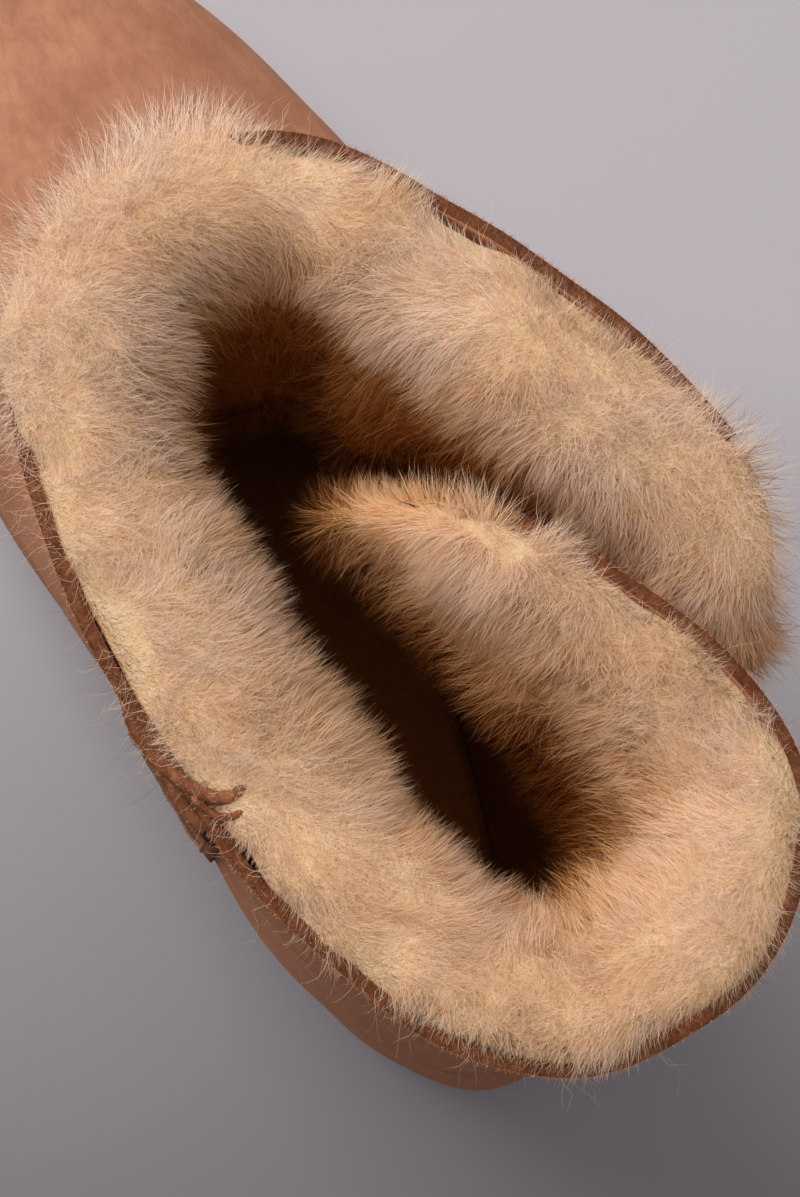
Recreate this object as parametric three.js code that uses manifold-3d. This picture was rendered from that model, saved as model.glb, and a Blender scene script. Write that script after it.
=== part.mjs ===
// A right-foot sheepskin boot with a wrap opening on its outer side, standing on its sole.
// Millimetres. +X points to the toe, +Y to the inner side of the foot, +Z up.
// The skin is leather outside and deep fleece inside, so the wall of the upper is the depth of both.
import * as THREE from "three";
import Module from "manifold-3d";
import { mergeVertices } from "three/addons/utils/BufferGeometryUtils.js";

const wasm = await Module();
wasm.setup();

// ---------- driving dimensions ----------

const pieceGap = 0.3; // between touching pieces
const skin = 2; // leather alone
const toeTurn = 7; // how far the toe leans to the inner side
const plan = 2 / 2.4; // power of the rounded ends seen from above
const columns = 76; // facets round the upper

const sole = {
  heelThickness: 23,
  forefootThickness: 17,
  toeSpring: 9,
  springStart: 72, // where the toe starts to lift
  archRise: 4,
  archBack: -62,
  archFront: -2,
  edge: 2.2, // how far it stands out past the upper's lower edge
  bevel: 2,
  grooveDepth: 3,
  grooveWidth: 4,
};

// One row for each ring of the last, from the sole up to the collar.
// back and front are its ends, mid is where its width is taken from, heel and ball are half widths,
// zBack and zFront are its heights, turn is its twist in degrees, shift moves it sideways,
// wall is the depth of leather and fleece.
const lastRings = [
  { back: -130, front: 129, mid: 0, heel: 37, ball: 49, zBack: 23, zFront: 26, turn: 0, shift: 0, wall: 12 },
  { back: -134, front: 134, mid: 0, heel: 40.5, ball: 53.5, zBack: 42, zFront: 41, turn: 0, shift: 0, wall: 12 },
  { back: -134, front: 131, mid: -4, heel: 41.5, ball: 53, zBack: 59, zFront: 55, turn: 0, shift: 0, wall: 12 },
  { back: -132.5, front: 116, mid: -10, heel: 41.5, ball: 50.5, zBack: 75, zFront: 66, turn: 0, shift: 0, wall: 13 },
  { back: -130.5, front: 91, mid: -20, heel: 41, ball: 47, zBack: 88, zFront: 75.5, turn: 0, shift: 0, wall: 14 },
  { back: -128, front: 65, mid: -30, heel: 40.5, ball: 43.5, zBack: 100, zFront: 87, turn: 0, shift: 0, wall: 15 },
  { back: -127, front: 40, mid: -41, heel: 40, ball: 41, zBack: 112, zFront: 101, turn: 0.5, shift: 0, wall: 17 },
  { back: -126, front: 23, mid: -49, heel: 40, ball: 40, zBack: 127, zFront: 119, turn: 1.5, shift: 0, wall: 20 },
  { back: -126, front: 16, mid: -53, heel: 40.5, ball: 40.5, zBack: 147, zFront: 143, turn: 3.5, shift: -1, wall: 22 },
  { back: -127, front: 18, mid: -53, heel: 42, ball: 42, zBack: 174, zFront: 173, turn: 7, shift: -1.5, wall: 24 },
  { back: -127.5, front: 20.5, mid: -52, heel: 43, ball: 42.8, zBack: 205, zFront: 205, turn: 9.8, shift: -1.8, wall: 25 },
];
const collarRing = lastRings.length - 1;
const slitRing = 6; // the wrap opening starts at this ring

// The wrap opening. flap and tuck are the angles, in degrees behind the toe on the outer side, where
// the front panel's free edge and the back panel's hidden edge stand. lift carries the flap outwards,
// and drop, for each degree, lets the tucked panel lean inwards. flapWall and tuckWall are their depths.
const wrapRows = [
  { ring: 6.0, flap: 72, tuck: 72, lift: 0, drop: 0, flapWall: 9, tuckWall: 9 },
  { ring: 6.3, flap: 70, tuck: 76, lift: 1, drop: 0.08, flapWall: 5, tuckWall: 7 },
  { ring: 6.7, flap: 75, tuck: 69, lift: 4, drop: 0.2, flapWall: 6, tuckWall: 9 },
  { ring: 7.2, flap: 80, tuck: 66, lift: 6, drop: 0.33, flapWall: 7, tuckWall: 11 },
  { ring: 8.0, flap: 89, tuck: 63, lift: 8, drop: 0.55, flapWall: 7, tuckWall: 13 },
  { ring: 9.0, flap: 101, tuck: 72, lift: 9, drop: 0.75, flapWall: 7, tuckWall: 11 },
  { ring: 10.0, flap: 114, tuck: 88, lift: 9.8, drop: 0.75, flapWall: 7, tuckWall: 15 },
];
const wrap = {
  liftStart: 54, // the front panel starts to swing out here
  liftReach: 46, // and is fully out this much further back
  liftFall: 18, // near its free edge it comes back in over this many degrees
  liftKept: 0.5, // and keeps this share of its lift
  dropStart: 140, // the back panel starts to lean in here
  dropBend: 40, // and bends over this many degrees
  thinning: 36, // degrees over which a wall thins towards its free edge
  cornerReach: 15, // degrees of rounding at the flap's top corner
  cornerDrop: 11,
};
const relaxing = 6; // passes that even out the fleece side

// The roll of fleece along the collar: shares of the wall, and heights over the leather's edge.
const collarRoll = [
  { share: 0.09, rise: 0.6 },
  { share: 0.35, rise: 4.5 },
  { share: 0.68, rise: 4 },
];

// The strip that covers the inner side seam: where its middle stands at the sole and at the collar.
const strip = { atSole: -38, atCollar: -63, halfWidth: 10, thickness: 1.5 };

const insole = { thickness: 6, clearance: 0.5, edgeRound: 2 };

const looks = {
  upper: { color: 0xa56a44, roughness: 0.95 },
  outsole: { color: 0x6b4a33, roughness: 0.85 },
  insole: { color: 0xe3c79b, roughness: 1 },
  strip: { color: 0x8f5534, roughness: 0.95 },
};

// ---------- small helpers ----------

const degrees = Math.PI / 180;
const lerp = (a, b, t) => a + (b - a) * t;
const clamp01 = (t) => Math.min(1, Math.max(0, t));
const ease = (a, b, x) => {
  const t = clamp01((x - a) / (b - a));
  return t * t * (3 - 2 * t);
};
// Nothing up to zero, then a straight rise after a smooth bend.
const bend = (t, over) => (t <= 0 ? 0 : t < over ? (t * t) / (2 * over) : t - over / 2);
const power = (value, exponent) => Math.sign(value) * Math.abs(value) ** exponent;

// A column of a table at a place between its rows, straight from row to row.
function between(rows, key, place, column) {
  const last = rows.length - 1;
  if (place <= rows[0][key]) return rows[0][column];
  for (let i = 0; i < last; i++)
    if (place <= rows[i + 1][key])
      return lerp(rows[i][column], rows[i + 1][column],
        (place - rows[i][key]) / (rows[i + 1][key] - rows[i][key]));
  return rows[last][column];
}

// The same through four neighbours, as one smooth curve.
function smooth(values, place) {
  const i = Math.min(values.length - 2, Math.max(0, Math.floor(place)));
  const t = place - i;
  const at = (k) => values[Math.min(values.length - 1, Math.max(0, k))];
  const [a, b, c, d] = [at(i - 1), at(i), at(i + 1), at(i + 2)];
  return b + 0.5 * t * (c - a + t * (2 * a - 5 * b + 4 * c - d + t * (3 * (b - c) + d - a)));
}

const soleTop = (x) =>
  lerp(sole.heelThickness, sole.forefootThickness, ease(-70, 40, x)) + toeLift(x);
const toeLift = (x) => sole.toeSpring * clamp01((x - sole.springStart) / (134 - sole.springStart)) ** 1.8;
const toeBend = (x) => toeTurn * ease(0, 134, x);

// ---------- the last ----------

const ringColumn = Object.fromEntries(
  Object.keys(lastRings[0]).map((name) => [name, lastRings.map((row) => row[name])]),
);
const ringAt = (ring) =>
  Object.fromEntries(Object.keys(ringColumn).map((name) => [name, smooth(ringColumn[name], ring)]));

// A point of a plain ring. The angle runs from the toe (0) over the inner side (90) to the heel (180).
function ringPoint(ring, angle) {
  const row = ringAt(ring);
  const c = Math.cos(angle * degrees);
  const s = Math.sin(angle * degrees);
  const x = row.mid + power(c, plan) * (c > 0 ? row.front - row.mid : row.mid - row.back);
  const halfWidth = lerp(row.heel, row.ball, ease(row.mid - 62, row.mid + 48, x));
  const y = power(s, plan) * halfWidth;
  const along = x - row.mid;
  const turn = row.turn * degrees;
  const plainZ = lerp(row.zBack, row.zFront, ease(row.mid - 20, row.front, x));
  const z = lerp(soleTop(x) + pieceGap, plainZ, clamp01(ring));
  return new THREE.Vector3(
    row.mid + along * Math.cos(turn) - y * Math.sin(turn),
    row.shift + along * Math.sin(turn) + y * Math.cos(turn) + toeBend(x) * clamp01(6 - ring),
    z,
  );
}

// The level outward direction of a plain ring.
function ringOut(ring, angle) {
  const step = ringPoint(ring, angle + 1).sub(ringPoint(ring, angle - 1));
  return new THREE.Vector3(step.y, -step.x, 0).normalize();
}

// The wrap's own sizes at a ring; below the slit the ring is closed at its seam.
function wrapAt(ring) {
  const seam = between([{ ring: 0, at: 93 }, { ring: 4, at: 84 }, { ring: 6, at: 72 }], "ring", ring, "at");
  if (ring <= slitRing)
    return { flap: seam, tuck: seam, lift: 0, drop: 0, flapWall: null, tuckWall: null };
  const row = {};
  for (const name of Object.keys(wrapRows[0])) row[name] = between(wrapRows, "ring", ring, name);
  return row;
}

// Leather side of the upper. Angles run from -flap, the free edge, forwards round the toe, the inner
// side and the heel, to 360 - tuck, the hidden edge.
function leather(ring, angle) {
  const size = wrapAt(ring);
  const point = ringPoint(ring, angle);
  if (ring <= slitRing) return point;
  const flapReach = -angle;
  const tuckReach = 360 - angle;
  let out = 0;
  if (flapReach > 0)
    out = size.lift * ease(wrap.liftStart, wrap.liftStart + wrap.liftReach, flapReach)
      * lerp(1, wrap.liftKept, ease(size.flap - wrap.liftFall, size.flap, flapReach));
  if (angle > 180) out = -size.drop * bend(wrap.dropStart - tuckReach, wrap.dropBend);
  point.addScaledVector(ringOut(ring, angle), out);
  const corner = clamp01(1 - (angle + size.flap) / wrap.cornerReach) ** 2;
  point.z -= wrap.cornerDrop * corner * ease(8, collarRing, ring);
  return point;
}

// Depth of leather and fleece.
function wallAt(ring, angle) {
  const plain = smooth(ringColumn.wall, ring);
  const size = wrapAt(ring);
  const nearSlit = ease(5, slitRing, ring);
  const flapWall = size.flapWall ?? lerp(plain, wrapRows[0].flapWall, nearSlit);
  const tuckWall = size.tuckWall ?? lerp(plain, wrapRows[0].tuckWall, nearSlit);
  const fromFlap = ease(0, wrap.thinning, angle + size.flap);
  const fromTuck = ease(0, wrap.thinning, 360 - size.tuck - angle);
  return Math.min(lerp(flapWall, plain, fromFlap), lerp(tuckWall, plain, fromTuck));
}

// The direction the wall's depth is measured in: square to the leather in the foot, and level at the
// lower edge, which stands on the sole, and in the shaft.
function outward(ring, angle) {
  const level = ringOut(ring, angle);
  const levelled = Math.max(1 - ring, ease(5, 7, ring));
  if (levelled >= 1) return level;
  const round = leather(ring, angle + 1).sub(leather(ring, angle - 1));
  const up = leather(ring + 0.15, angle).sub(leather(Math.max(0, ring - 0.15), angle));
  return round.cross(up).normalize().lerp(level, levelled).normalize();
}

function fleeceSide(ring, angle) {
  const point = leather(ring, angle).addScaledVector(outward(ring, angle), -wallAt(ring, angle));
  if (ring <= 0) point.z = soleTop(point.x) + pieceGap;
  return point;
}

// ---------- meshes from rows of points ----------

function geometryOf(points, faces) {
  const geometry = new THREE.BufferGeometry();
  geometry.setAttribute("position", new THREE.Float32BufferAttribute(points.flatMap((p) => p.toArray()), 3));
  geometry.setIndex(faces.flat());
  return geometry;
}

// Joins points that meet and drops faces that have closed up.
function tidy(geometry) {
  const merged = mergeVertices(geometry, 1e-3);
  const index = merged.index.array;
  const kept = [];
  for (let i = 0; i < index.length; i += 3) {
    const [a, b, c] = [index[i], index[i + 1], index[i + 2]];
    if (a !== b && b !== c && a !== c) kept.push(a, b, c);
  }
  merged.setIndex(kept);
  return merged;
}

// Closes rows of equal length into a skin: each row is a loop, and the first and last are capped.
function loft(rows) {
  const count = rows[0].length;
  const faces = [];
  for (let j = 0; j + 1 < rows.length; j++)
    for (let i = 0; i < count; i++) {
      const next = (i + 1) % count;
      const [a, b, c, d] = [j * count + i, j * count + next, (j + 1) * count + next, (j + 1) * count + i];
      faces.push([a, b, c], [a, c, d]);
    }
  const end = (rows.length - 1) * count;
  for (let i = 1; i + 1 < count; i++) {
    faces.push([0, i + 1, i]);
    faces.push([end, end + i, end + i + 1]);
  }
  return tidy(geometryOf(rows.flat(), faces));
}

function solidOf(geometry) {
  const merged = tidy(geometry);
  return new wasm.Manifold(new wasm.Mesh({
    numProp: 3,
    vertProperties: new Float32Array(merged.attributes.position.array),
    triVerts: new Uint32Array(merged.index.array),
  }));
}

function geometryOfSolid(solid) {
  const mesh = solid.getMesh();
  const points = [];
  for (let i = 0; i < mesh.numVert; i++)
    points.push(new THREE.Vector3().fromArray(mesh.vertProperties, i * mesh.numProp));
  return geometryOf(points, [Array.from(mesh.triVerts)]);
}

// ---------- the pieces ----------

// Evens out rows of points: each moves towards the middle of its neighbours. The lowest rows, which
// hold the insole, and the free ends stay.
function relax(rows) {
  for (let pass = 0; pass < relaxing; pass++) {
    const moved = rows.map(({ ring, points }, j) => points.map((point, i) => {
      const closed = ring <= slitRing;
      const last = points.length - 1;
      const left = i > 0 ? points[i - 1] : closed ? points[last - 1] : null;
      const right = i < last ? points[i + 1] : closed ? points[1] : null;
      const near = [];
      if (left && right) near.push(left, right);
      if (j > 0 && j < rows.length - 1) near.push(rows[j - 1].points[i], rows[j + 1].points[i]);
      if (near.length < 2 || (near.length === 2 && !left)) return point.clone();
      const target = near.reduce((sum, p) => sum.add(p), new THREE.Vector3()).divideScalar(near.length);
      const free = closed ? 1 : ease(0, 6, Math.min(i, last - i));
      return point.clone().lerp(target, 0.5 * free * clamp01(ring - 0.5));
    }));
    rows.forEach((row, j) => { row.points = moved[j]; });
  }
}

// One hollow skin: a closed ring below the slit, and an open one with lapped ends above it.
function upperGeometry() {
  const rings = [0, 0.35, 0.7, 1, 1.5, 2, 2.5, 3, 3.5, 4, 4.5, 5, 5.5, 6,
    6.3, 6.7, 7.2, 7.6, 8, 8.5, 9, 9.5, 10];
  const angleOf = (ring, i) => {
    const size = wrapAt(ring);
    return lerp(-size.flap, 360 - size.tuck, i / columns);
  };
  const rows = rings.map((ring) => ({ ring, points: [] }));
  for (const row of rows)
    for (let i = 0; i <= columns; i++) row.points.push(leather(row.ring, angleOf(row.ring, i)));
  for (const { share, rise } of collarRoll) {
    const points = [];
    for (let i = 0; i <= columns; i++) {
      const angle = angleOf(collarRing, i);
      const point = leather(collarRing, angle);
      point.addScaledVector(outward(collarRing, angle), -share * wallAt(collarRing, angle));
      point.z += rise;
      points.push(point);
    }
    rows.push({ ring: collarRing, points });
  }
  const inside = rings.map((ring) => {
    const points = [];
    for (let i = 0; i <= columns; i++) points.push(fleeceSide(ring, angleOf(ring, i)));
    return { ring, points };
  });
  relax(inside);
  rows.push(...inside.reverse());
  // The rows now run up the leather, over the collar and down the fleece. Below the slit the first
  // and last point of a row are the same point; tidy() joins them.
  for (const row of rows)
    if (row.ring <= slitRing) row.points[columns] = row.points[0].clone();
  const width = columns + 1;
  const count = rows.length;
  const faces = [];
  for (let j = 0; j < count; j++) {
    const above = (j + 1) % count; // the last row meets the first under the wall
    for (let i = 0; i < columns; i++) {
      const [a, b, c, d] = [j * width + i, j * width + i + 1, above * width + i + 1, above * width + i];
      faces.push([a, b, c], [a, c, d]);
    }
  }
  const slitRow = rings.indexOf(slitRing);
  const mirrored = (j) => count - 1 - j; // the fleece row behind a leather row
  for (const [column, flip] of [[0, false], [columns, true]]) {
    const end = (a, b, c) => faces.push(flip ? [a, c, b] : [a, b, c]);
    const at = (j) => j * width + column;
    for (let j = slitRow; j + 1 < rings.length; j++) {
      end(at(j), at(j + 1), at(mirrored(j + 1)));
      end(at(j), at(mirrored(j + 1)), at(mirrored(j)));
    }
    for (let j = rings.length - 1; j + 2 <= mirrored(rings.length - 1); j++)
      end(at(rings.length - 1), at(j + 1), at(j + 2));
  }
  return tidy(geometryOf(rows.flatMap((row) => row.points), faces));
}

// Stations along a sole or an insole: x with its inner and outer edge, closed up at both ends.
function stations(edgeAt, count) {
  const list = [];
  for (let i = 1; i < count; i++) {
    const angle = 180 - (180 * i) / count;
    list.push({ inner: edgeAt(angle), outer: edgeAt(-angle) });
  }
  return list;
}

// The sole's edge: the upper's lower edge, pushed out level.
const soleEdge = (grow) => (angle) =>
  ringPoint(0, angle).addScaledVector(ringOut(0, angle), grow);

const underside = (x) =>
  toeLift(x) + sole.archRise * ease(sole.archBack, sole.archBack + 18, x)
    * (1 - ease(sole.archFront - 22, sole.archFront, x));

function outsoleGeometry() {
  const wide = stations(soleEdge(sole.edge), 52);
  const full = stations(soleEdge(sole.edge + 0.8), 52);
  const bottom = stations(soleEdge(sole.edge - sole.bevel), 52);
  const at = (p, z) => new THREE.Vector3(p.x, p.y, z);
  const sections = wide.map((top, i) => {
    const [mid, low] = [full[i], bottom[i]];
    const height = (p, share) => lerp(underside(p.x), soleTop(p.x), share);
    return [
      at(low.outer, underside(low.outer.x)),
      at(low.inner, underside(low.inner.x)),
      at(mid.inner, height(mid.inner, 0.18)),
      at(mid.inner, height(mid.inner, 0.72)),
      at(top.inner, soleTop(top.inner.x)),
      at(top.outer, soleTop(top.outer.x)),
      at(mid.outer, height(mid.outer, 0.72)),
      at(mid.outer, height(mid.outer, 0.18)),
    ];
  });
  let solid = solidOf(loft(sections));
  for (const groove of grooves()) solid = solid.subtract(groove);
  return geometryOfSolid(solid);
}

// Wavy grooves across the tread, which leave the lugs between them.
function grooves() {
  const list = [];
  const waves = 3;
  const reach = 70;
  const places = [-112, -99, -86, -73, 4, 17, 30, 43, 56, 69, 82, 95, 108];
  for (const place of places) {
    const shape = new THREE.Shape();
    const front = [];
    const back = [];
    for (let i = 0; i <= waves * 2; i++) {
      const y = lerp(-reach, reach, i / (waves * 2));
      const x = place + (i % 2 ? 4 : -4);
      front.push(new THREE.Vector2(x + sole.grooveWidth / 2, y));
      back.unshift(new THREE.Vector2(x - sole.grooveWidth / 2, y));
    }
    shape.setFromPoints([...front, ...back]);
    const geometry = new THREE.ExtrudeGeometry(shape, { depth: 20, bevelEnabled: false });
    geometry.translate(0, 0, underside(place) + sole.grooveDepth - 20);
    geometry.deleteAttribute("normal");
    geometry.deleteAttribute("uv");
    list.push(solidOf(geometry));
  }
  return list;
}

function insoleGeometry() {
  const edge = (grow) => (angle) => {
    const wall = wallAt(0, angle) + insole.clearance - grow;
    return ringPoint(0, angle).addScaledVector(ringOut(0, angle), -wall);
  };
  const low = stations(edge(0), 40);
  const top = stations(edge(-insole.edgeRound), 40);
  const sections = low.map((base, i) => {
    const at = (p, up) => new THREE.Vector3(p.x, p.y, soleTop(p.x) + pieceGap + up);
    const side = insole.thickness - insole.edgeRound;
    return [
      at(base.outer, 0), at(base.inner, 0), at(base.inner, side), at(top[i].inner, insole.thickness),
      at(top[i].outer, insole.thickness), at(base.outer, side),
    ];
  });
  return loft(sections);
}

// The angle on the inner side where a ring has a given x.
function innerAngleAt(ring, x) {
  let [low, high] = [20, 175];
  for (let i = 0; i < 40; i++) {
    const middle = (low + high) / 2;
    if (ringPoint(ring, middle).x > x) low = middle;
    else high = middle;
  }
  return (low + high) / 2;
}

function stripGeometry() {
  const sections = [];
  const across = 4;
  const steps = 20;
  for (let j = 0; j <= steps; j++) {
    const ring = lerp(0.3, collarRing, j / steps);
    const middle = lerp(strip.atSole, strip.atCollar, ease(0, 7, ring));
    const near = [];
    const far = [];
    for (let i = 0; i <= across; i++) {
      const side = lerp(strip.halfWidth, -strip.halfWidth, i / across);
      const angle = innerAngleAt(ring, middle + side);
      const out = outward(ring, angle);
      near.unshift(leather(ring, angle).addScaledVector(out, pieceGap));
      far.push(leather(ring, angle).addScaledVector(out, pieceGap + strip.thickness));
    }
    sections.push([...far, ...near]);
  }
  return loft(sections);
}

// ---------- the boot ----------

function piece(name, geometry, look) {
  geometry.computeVertexNormals();
  const mesh = new THREE.Mesh(geometry, new THREE.MeshStandardMaterial({ ...look, metalness: 0 }));
  mesh.name = name;
  return mesh;
}

const boot = new THREE.Group();
boot.add(
  piece("upper", upperGeometry(), looks.upper),
  piece("side_seam_strip", stripGeometry(), looks.strip),
  piece("outsole", outsoleGeometry(), looks.outsole),
  piece("insole", insoleGeometry(), looks.insole),
);

// The origin is on the floor, under the middle of the boot.
const box = new THREE.Box3().setFromObject(boot);
const middle = box.getCenter(new THREE.Vector3());
boot.position.set(-middle.x, -middle.y, -box.min.z);

export default boot;
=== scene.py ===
import math

import bpy
import numpy as np
from mathutils import Matrix, Vector


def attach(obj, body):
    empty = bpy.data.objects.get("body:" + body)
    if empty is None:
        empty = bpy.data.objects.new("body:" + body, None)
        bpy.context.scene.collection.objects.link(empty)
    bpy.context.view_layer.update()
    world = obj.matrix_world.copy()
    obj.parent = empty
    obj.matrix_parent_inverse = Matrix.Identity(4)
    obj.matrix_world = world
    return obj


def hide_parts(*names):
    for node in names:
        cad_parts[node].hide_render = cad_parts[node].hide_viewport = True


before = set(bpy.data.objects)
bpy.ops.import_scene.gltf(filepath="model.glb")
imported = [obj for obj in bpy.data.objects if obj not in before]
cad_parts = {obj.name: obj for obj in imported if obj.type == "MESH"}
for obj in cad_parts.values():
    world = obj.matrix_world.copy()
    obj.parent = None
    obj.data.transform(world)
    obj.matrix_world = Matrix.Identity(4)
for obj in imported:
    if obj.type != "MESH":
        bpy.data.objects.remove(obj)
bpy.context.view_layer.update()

mm = 0.001

# The last, in mm: a row of values for the eleven rings from the sole (0) to the collar (10).
last = dict(
    back=[-130, -134, -134, -132.5, -130.5, -128, -127, -126, -126, -127, -127.5],
    front=[129, 134, 131, 116, 91, 65, 40, 23, 16, 18, 20.5],
    mid=[0, 0, -4, -10, -20, -30, -41, -49, -53, -53, -52],
    heel=[37, 40.5, 41.5, 41.5, 41, 40.5, 40, 40, 40.5, 42, 43],
    ball=[49, 53.5, 53, 50.5, 47, 43.5, 41, 40, 40.5, 42, 42.8],
    zBack=[23, 42, 59, 75, 88, 100, 112, 127, 147, 174, 205],
    zFront=[26, 41, 55, 66, 75.5, 87, 101, 119, 143, 173, 205],
    turn=[0, 0, 0, 0, 0, 0, 0.5, 1.5, 3.5, 7, 9.8],
    shift=[0, 0, 0, 0, 0, 0, 0, 0, -1, -1.5, -1.8],
    wall=[12, 12, 12, 13, 14, 15, 17, 20, 22, 24, 25],
)
# The wrap opening at its own rings: where its two edges stand, in degrees behind the toe, and how far
# the flap swings out and the tucked panel leans in.
wrap = dict(
    ring=[6, 6.3, 6.7, 7.2, 8, 9, 10],
    flap=[72, 70, 75, 80, 89, 101, 114],
    tuck=[72, 76, 69, 66, 63, 72, 88],
    lift=[0, 1, 4, 6, 8, 9, 9.8],
    drop=[0, 0.08, 0.2, 0.33, 0.55, 0.75, 0.75],
    flapWall=[9, 5, 6, 7, 7, 7, 7],
    tuckWall=[9, 7, 9, 11, 13, 11, 15],
)
slitRing = 6
collarRing = 10
collarHeight = 205  # mm
roundness = 2 / 2.4


def blend01(low, high, value):
    t = np.clip((value - low) / (high - low), 0, 1)
    return t * t * (3 - 2 * t)


def mix(a, b, t):
    return a + (b - a) * t


def column(name, ring):
    values = np.array(last[name], float)
    i = np.clip(np.floor(ring).astype(int), 0, len(values) - 2)
    t = ring - i
    a, b, c, d = (values[np.clip(i + k, 0, len(values) - 1)] for k in (-1, 0, 1, 2))
    return b + 0.5 * t * (c - a + t * (2 * a - 5 * b + 4 * c - d + t * (3 * (b - c) + d - a)))


def toeLift(x):
    return 9 * np.clip((x - 72) / 62, 0, 1) ** 1.8


def soleTop(x):
    return mix(23, 17, blend01(-70, 40, x)) + toeLift(x)


def ringPoint(ring, angle):
    ring, angle = np.broadcast_arrays(np.asarray(ring, float), np.asarray(angle, float))
    c, s = np.cos(np.radians(angle)), np.sin(np.radians(angle))
    back, front, mid = (column(name, ring) for name in ("back", "front", "mid"))
    x = mid + np.sign(c) * np.abs(c) ** roundness * np.where(c > 0, front - mid, mid - back)
    y = np.sign(s) * np.abs(s) ** roundness * mix(
        column("heel", ring), column("ball", ring), blend01(mid - 62, mid + 48, x))
    turn = np.radians(column("turn", ring))
    plain = mix(column("zBack", ring), column("zFront", ring), blend01(mid - 20, front, x))
    z = mix(soleTop(x), plain, np.clip(ring, 0, 1))
    bendIn = 7 * blend01(0, 134, x) * np.clip(6 - ring, 0, 1)
    return np.stack([
        mid + (x - mid) * np.cos(turn) - y * np.sin(turn),
        column("shift", ring) + (x - mid) * np.sin(turn) + y * np.cos(turn) + bendIn,
        z,
    ], -1)


def unit(v):
    return v / np.maximum(np.linalg.norm(v, axis=-1, keepdims=True), 1e-9)


def levelOut(ring, angle):
    step = ringPoint(ring, angle + 1) - ringPoint(ring, angle - 1)
    return unit(np.stack([step[..., 1], -step[..., 0], 0 * step[..., 0]], -1))


def wrapAt(name, ring):
    value = np.interp(ring, wrap["ring"], wrap[name])
    if name in ("flap", "tuck"):
        return np.where(ring <= slitRing, np.interp(ring, [0, 4, 6], [93, 84, 72]), value)
    return value


def bend(t, over):
    return np.where(t <= 0, 0, np.where(t < over, t * t / (2 * over), t - over / 2))


# The outer side of the leather. Angles run from the flap's edge, -flap, round the toe (0), the inner
# side (90) and the heel (180) to the tucked edge, 360 - tuck.
def leatherPoint(ring, angle):
    ring, angle = np.broadcast_arrays(np.asarray(ring, float), np.asarray(angle, float))
    flap = wrapAt("flap", ring)
    out = wrapAt("lift", ring) * blend01(54, 100, -angle) * mix(1, 0.5, blend01(flap - 18, flap, -angle))
    lean = wrapAt("drop", ring) * bend(140 - (360 - angle), 40)
    out = np.where(angle > 180, -lean, out) * (ring > slitRing)
    point = ringPoint(ring, angle) + levelOut(ring, angle) * out[..., None]
    corner = np.clip(1 - (angle + flap) / 15, 0, 1) ** 2
    point[..., 2] -= 11 * corner * blend01(8, 10, ring)
    return point


def wallDepth(ring, angle):
    plain = column("wall", ring)
    near = blend01(5, slitRing, ring)
    flapWall = np.where(ring <= slitRing, mix(plain, 9, near), wrapAt("flapWall", ring))
    tuckWall = np.where(ring <= slitRing, mix(plain, 9, near), wrapAt("tuckWall", ring))
    fromFlap = blend01(0, 36, angle + wrapAt("flap", ring))
    fromTuck = blend01(0, 36, 360 - wrapAt("tuck", ring) - angle)
    return np.minimum(mix(flapWall, plain, fromFlap), mix(tuckWall, plain, fromTuck))


# Square to the leather in the foot, level in the shaft.
def outward(ring, angle):
    ring, angle = np.broadcast_arrays(np.asarray(ring, float), np.asarray(angle, float))
    around = leatherPoint(ring, angle + 1) - leatherPoint(ring, angle - 1)
    above, below = np.minimum(ring + 0.15, collarRing), np.maximum(ring - 0.15, 0)
    up = leatherPoint(above, angle) - leatherPoint(below, angle)
    level = levelOut(ring, angle)
    levelled = np.maximum(np.clip(1 - ring, 0, 1), blend01(5, 7, ring))[..., None]
    return unit(mix(unit(np.cross(around, up)), level, levelled))


# Smooth random waves over space, about -1 to 1, with a wavelength in mm.
def waves(points, wavelength, seed, count=7):
    own = np.random.default_rng(seed)
    total = np.zeros(points.shape[:-1])
    for _ in range(count):
        direction = unit(own.normal(size=3))
        total += np.sin(points @ direction * (2 * math.pi / (wavelength * own.uniform(0.7, 1.4)))
                        + own.uniform(0, 2 * math.pi))
    return total / math.sqrt(count)


# From the last's coordinates to the shared frame, whose origin is under the middle of the whole boot's box.
frameShift = np.array([0.175, 1.032, 0.0])


def place(points):
    return (points + frameShift) * mm


# Node groups and materials.

def newGroup(name, inputs, outputs):
    group = bpy.data.node_groups.new(name, "ShaderNodeTree")
    for label, kind, value in inputs:
        socket = group.interface.new_socket(label, in_out="INPUT", socket_type=kind)
        socket.default_value = value
    for label, kind in outputs:
        group.interface.new_socket(label, in_out="OUTPUT", socket_type=kind)
    return group, group.nodes.new("NodeGroupInput"), group.nodes.new("NodeGroupOutput")


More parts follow.
